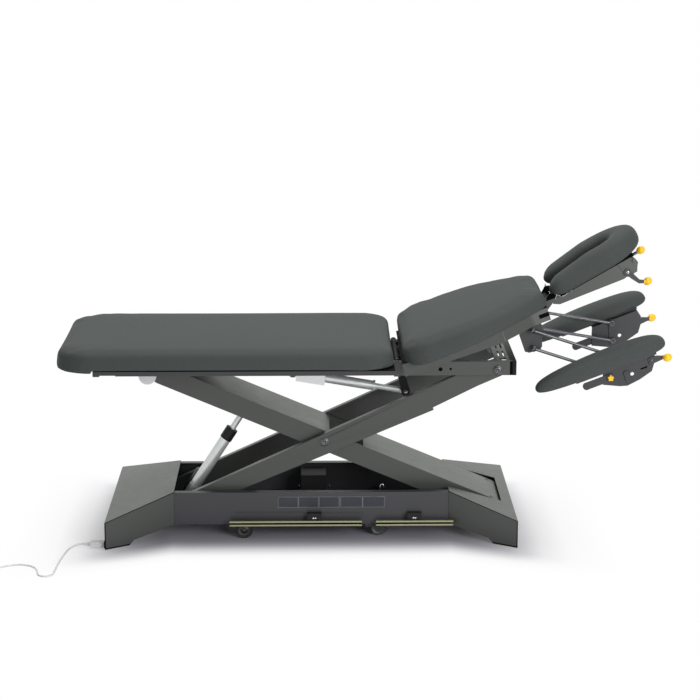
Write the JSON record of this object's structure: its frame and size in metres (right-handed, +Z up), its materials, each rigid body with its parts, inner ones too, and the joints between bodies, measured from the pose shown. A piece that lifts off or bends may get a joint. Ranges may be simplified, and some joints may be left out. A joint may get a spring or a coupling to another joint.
{
  "type": "treatment table",
  "caption": "Electric scissor-lift treatment table: long cushion, tilting back section, horseshoe head cushion and two armrests that swing on parallel rods.",
  "frame": {"origin": "floor under the middle of the table's length and width, at rest as shown, without the mains lead", "axes": "+X from the foot end to the head end, +Y to the side away from the mains lead, +Z up"},
  "size_m": [2.2622, 1.027, 0.9735],
  "materials": {
    "powder_coat": "satin dark grey powder coat",
    "dark_coat": "satin charcoal powder coat",
    "black_rubber": "matt",
    "black_plastic": "matt",
    "anodised_bar": "pale anodised",
    "bright_steel": "bright",
    "dark_steel": "satin dark",
    "pale_plastic": "smooth white",
    "pale_enamel": "smooth pale grey",
    "vinyl": "soft grained vinyl",
    "yellow_plastic": "glossy"
  },
  "bodies": {
    "base": {"base_rail_near": "powder_coat", "base_rail_far": "powder_coat", "foot_end_cover": "powder_coat", "head_end_cover": "powder_coat", "base_cross_members": "dark_coat", "levelling_feet": "black_rubber", "control_box": "dark_coat", "pedal_switch_boxes": "black_plastic", "castor_brackets": "dark_coat", "lower_axle": "bright_steel", "mains_connector": "pale_plastic", "mains_cord": "pale_plastic", "mains_coil": "pale_plastic", "mains_plug": "pale_plastic"},
    "foot_castors": {"castor_wheels_foot": "black_rubber"},
    "head_castors": {"castor_wheels_head": "black_rubber"},
    "near_foot_pedal": {"pedal_near_foot": "anodised_bar"},
    "near_head_pedal": {"pedal_near_head": "anodised_bar"},
    "far_foot_pedal": {"pedal_far_foot": "anodised_bar"},
    "far_head_pedal": {"pedal_far_head": "anodised_bar"},
    "inner_scissor": {"inner_arm": "powder_coat"},
    "inner_roller_set": {"inner_rollers": "pale_plastic"},
    "outer_scissor": {"outer_arm_near": "powder_coat", "outer_arm_far": "powder_coat", "outer_cross_tube": "powder_coat", "scissor_pivot_bolts": "dark_steel"},
    "outer_roller_set": {"outer_rollers": "bright_steel"},
    "lift_tube": {"lift_actuator_tube": "pale_enamel", "lift_actuator_collar": "black_plastic"},
    "lift_rod": {"lift_actuator_rod": "pale_enamel"},
    "top_frame": {"top_rail_near": "powder_coat", "top_rail_far": "powder_coat", "head_cross_member": "powder_coat", "top_cross_bars": "powder_coat", "long_tray": "dark_coat", "long_cushion": "vinyl"},
    "back_act_tube": {"back_actuator_body": "pale_enamel"},
    "back_act_rod": {"back_actuator_rod": "pale_enamel"},
    "back_section": {"back_frame": "powder_coat", "back_brackets": "dark_coat", "back_cushion": "vinyl", "arm_pivot_plates": "dark_coat"},
    "head_section": {"head_frame": "powder_coat", "head_cushion": "vinyl"},
    "head_knob": {"head_push_knob": "yellow_plastic"},
    "head_lever": {"head_release_lever": "dark_coat"},
    "near_low_rod": {"near_lower_rod": "dark_steel"},
    "near_top_rod": {"near_upper_rod": "dark_steel"},
    "near_block": {"near_arm_block": "dark_coat"},
    "near_armrest": {"near_bracket": "dark_coat", "near_pad": "vinyl"},
    "near_arm_lever": {"near_lever": "dark_coat"},
    "near_star": {"near_star_knob": "yellow_plastic"},
    "far_low_rod": {"far_lower_rod": "dark_steel"},
    "far_top_rod": {"far_upper_rod": "dark_steel"},
    "far_block": {"far_arm_block": "dark_coat"},
    "far_armrest": {"far_bracket": "dark_coat", "far_pad": "vinyl"},
    "far_arm_lever": {"far_lever": "dark_coat"},
    "far_star": {"far_star_knob": "yellow_plastic"}
  },
  "joints": [
    {"name": "lift", "type": "hinge", "parent": "base", "child": "inner_scissor", "pos_m": [0.4167, 0, 0.062], "axis": [0, 1, 0], "range_deg": [-4.5, 12]},
    {"name": "scissor_middle", "type": "hinge", "parent": "inner_scissor", "child": "outer_scissor", "pos_m": [-0.1332, 0, 0.30202], "axis": [0, 1, 0], "range_deg": [-24.5, 9.5]},
    {"name": "scissor_top", "type": "hinge", "parent": "outer_scissor", "child": "top_frame", "pos_m": [0.4167, 0, 0.54204], "axis": [0, 1, 0], "range_deg": [-5, 12.5]},
    {"name": "inner_rollers_turn", "type": "hinge", "parent": "inner_scissor", "child": "inner_roller_set", "pos_m": [-0.69527, 0, 0.52116], "axis": [0, 1, 0], "continuous": true},
    {"name": "outer_rollers_turn", "type": "hinge", "parent": "outer_scissor", "child": "outer_roller_set", "pos_m": [-0.6831, 0, 0.062], "axis": [0, 1, 0], "continuous": true},
    {"name": "lift_tube_swing", "type": "hinge", "parent": "base", "child": "lift_tube", "pos_m": [-0.5953, 0, 0.06], "axis": [0, -1, 0], "range_deg": [-2, 4]},
    {"name": "lift_rod_slide", "type": "slide", "parent": "lift_tube", "child": "lift_rod", "axis": [0.5435, 0, 0.8394], "range_m": [-0.0683, 0.1797]},
    {"name": "back_tilt", "type": "hinge", "parent": "top_frame", "child": "back_section", "pos_m": [0.0977, 0, 0.56503], "axis": [0, -1, 0], "range_deg": [-19, 16.6]},
    {"name": "back_tube_swing", "type": "hinge", "parent": "top_frame", "child": "back_act_tube", "pos_m": [-0.2353, 0, 0.49704], "axis": [0, -1, 0], "range_deg": [-4, 4]},
    {"name": "back_rod_slide", "type": "slide", "parent": "back_act_tube", "child": "back_act_rod", "axis": [0.9858, 0, -0.1678], "range_m": [-0.0413, 0.0361]},
    {"name": "head_tilt", "type": "hinge", "parent": "back_section", "child": "head_section", "pos_m": [0.59668, 0, 0.75697], "axis": [0, -1, 0], "range_deg": [-40.6, 14.4]},
    {"name": "head_knob_push", "type": "slide", "parent": "head_section", "child": "head_knob", "axis": [-0.866, 0, -0.5], "range_m": [0, 0.006], "stiffness_N_per_m": 800},
    {"name": "head_lever_squeeze", "type": "hinge", "parent": "head_section", "child": "head_lever", "pos_m": [0.83745, -0.062, 0.83594], "axis": [0, -1, 0], "range_deg": [0, 12], "stiffness_Nm_per_rad": 4, "springref_deg": -1.72},
    {"name": "near_armrest_swing", "type": "hinge", "parent": "back_section", "child": "near_low_rod", "pos_m": [0.52863, -0.173, 0.61183], "axis": [0, -1, 0], "range_deg": [-22, 10]},
    {"name": "near_top_rod_swing", "type": "hinge", "parent": "back_section", "child": "near_top_rod", "pos_m": [0.52384, -0.173, 0.67057], "axis": [0, -1, 0], "range_deg": [-22.5, 10.5]},
    {"name": "near_block_level", "type": "hinge", "parent": "near_low_rod", "child": "near_block", "pos_m": [0.8187, -0.173, 0.51758], "axis": [0, -1, 0], "range_deg": [-10.5, 22.5]},
    {"name": "near_armrest_tilt", "type": "hinge", "parent": "near_block", "child": "near_armrest", "pos_m": [0.82315, -0.18857, 0.53505], "axis": [0, -1, 0], "range_deg": [-15, 15]},
    {"name": "near_lever_squeeze", "type": "hinge", "parent": "near_armrest", "child": "near_arm_lever", "pos_m": [0.90172, -0.194, 0.57592], "axis": [0, -1, 0], "range_deg": [-12, 0], "stiffness_Nm_per_rad": 4, "springref_deg": 2.01},
    {"name": "near_star_turn", "type": "hinge", "parent": "near_armrest", "child": "near_star", "pos_m": [0.77245, -0.2, 0.52201], "axis": [0, 1, 0], "continuous": true},
    {"name": "far_armrest_swing", "type": "hinge", "parent": "back_section", "child": "far_low_rod", "pos_m": [0.52863, 0.173, 0.61183], "axis": [0, -1, 0], "range_deg": [-30.5, 1.5]},
    {"name": "far_top_rod_swing", "type": "hinge", "parent": "back_section", "child": "far_top_rod", "pos_m": [0.52384, 0.173, 0.67057], "axis": [0, -1, 0], "range_deg": [-31, 2]},
    {"name": "far_block_level", "type": "hinge", "parent": "far_low_rod", "child": "far_block", "pos_m": [0.82944, 0.173, 0.56149], "axis": [0, -1, 0], "range_deg": [-2, 31]},
    {"name": "far_armrest_tilt", "type": "hinge", "parent": "far_block", "child": "far_armrest", "pos_m": [0.8339, 0.18857, 0.57896], "axis": [0, -1, 0], "range_deg": [-15, 15]},
    {"name": "far_lever_squeeze", "type": "hinge", "parent": "far_armrest", "child": "far_arm_lever", "pos_m": [0.91247, 0.194, 0.61983], "axis": [0, -1, 0], "range_deg": [-12, 0], "stiffness_Nm_per_rad": 4, "springref_deg": 2.01},
    {"name": "far_star_turn", "type": "hinge", "parent": "far_armrest", "child": "far_star", "pos_m": [0.7832, 0.2, 0.56593], "axis": [0, 1, 0], "continuous": true},
    {"name": "foot_castors_roll", "type": "hinge", "parent": "base", "child": "foot_castors", "pos_m": [-0.3903, 0, 0.029], "axis": [0, 1, 0], "continuous": true},
    {"name": "head_castors_roll", "type": "hinge", "parent": "base", "child": "head_castors", "pos_m": [0.0397, 0, 0.029], "axis": [0, 1, 0], "continuous": true},
    {"name": "near_foot_pedal_press", "type": "hinge", "parent": "base", "child": "near_foot_pedal", "pos_m": [-0.2258, -0.168, 0.036], "axis": [1, 0, 0], "range_deg": [0, 8], "stiffness_Nm_per_rad": 12, "springref_deg": -1.72},
    {"name": "near_head_pedal_press", "type": "hinge", "parent": "base", "child": "near_head_pedal", "pos_m": [0.1542, -0.168, 0.036], "axis": [1, 0, 0], "range_deg": [0, 8], "stiffness_Nm_per_rad": 12, "springref_deg": -1.72},
    {"name": "far_foot_pedal_press", "type": "hinge", "parent": "base", "child": "far_foot_pedal", "pos_m": [-0.2258, 0.168, 0.036], "axis": [-1, 0, 0], "range_deg": [0, 8], "stiffness_Nm_per_rad": 12, "springref_deg": -1.72},
    {"name": "far_head_pedal_press", "type": "hinge", "parent": "base", "child": "far_head_pedal", "pos_m": [0.1542, 0.168, 0.036], "axis": [-1, 0, 0], "range_deg": [0, 8], "stiffness_Nm_per_rad": 12, "springref_deg": -1.72}
  ],
  "couplings": [
    {"joint": "scissor_middle", "follows": "lift", "ratio": -2},
    {"joint": "scissor_top", "follows": "lift", "ratio": 1},
    {"joint": "lift_tube_swing", "follows": "lift", "ratio": 0.1961},
    {"joint": "lift_rod_slide", "follows": "lift", "m_per_rad": 0.8511},
    {"joint": "back_tube_swing", "follows": "back_tilt", "ratio": 0.144},
    {"joint": "back_rod_slide", "follows": "back_tilt", "m_per_rad": 0.1232},
    {"joint": "near_top_rod_swing", "follows": "near_armrest_swing", "ratio": 1},
    {"joint": "near_block_level", "follows": "near_armrest_swing", "ratio": -1},
    {"joint": "far_top_rod_swing", "follows": "far_armrest_swing", "ratio": 1},
    {"joint": "far_block_level", "follows": "far_armrest_swing", "ratio": -1}
  ]
}
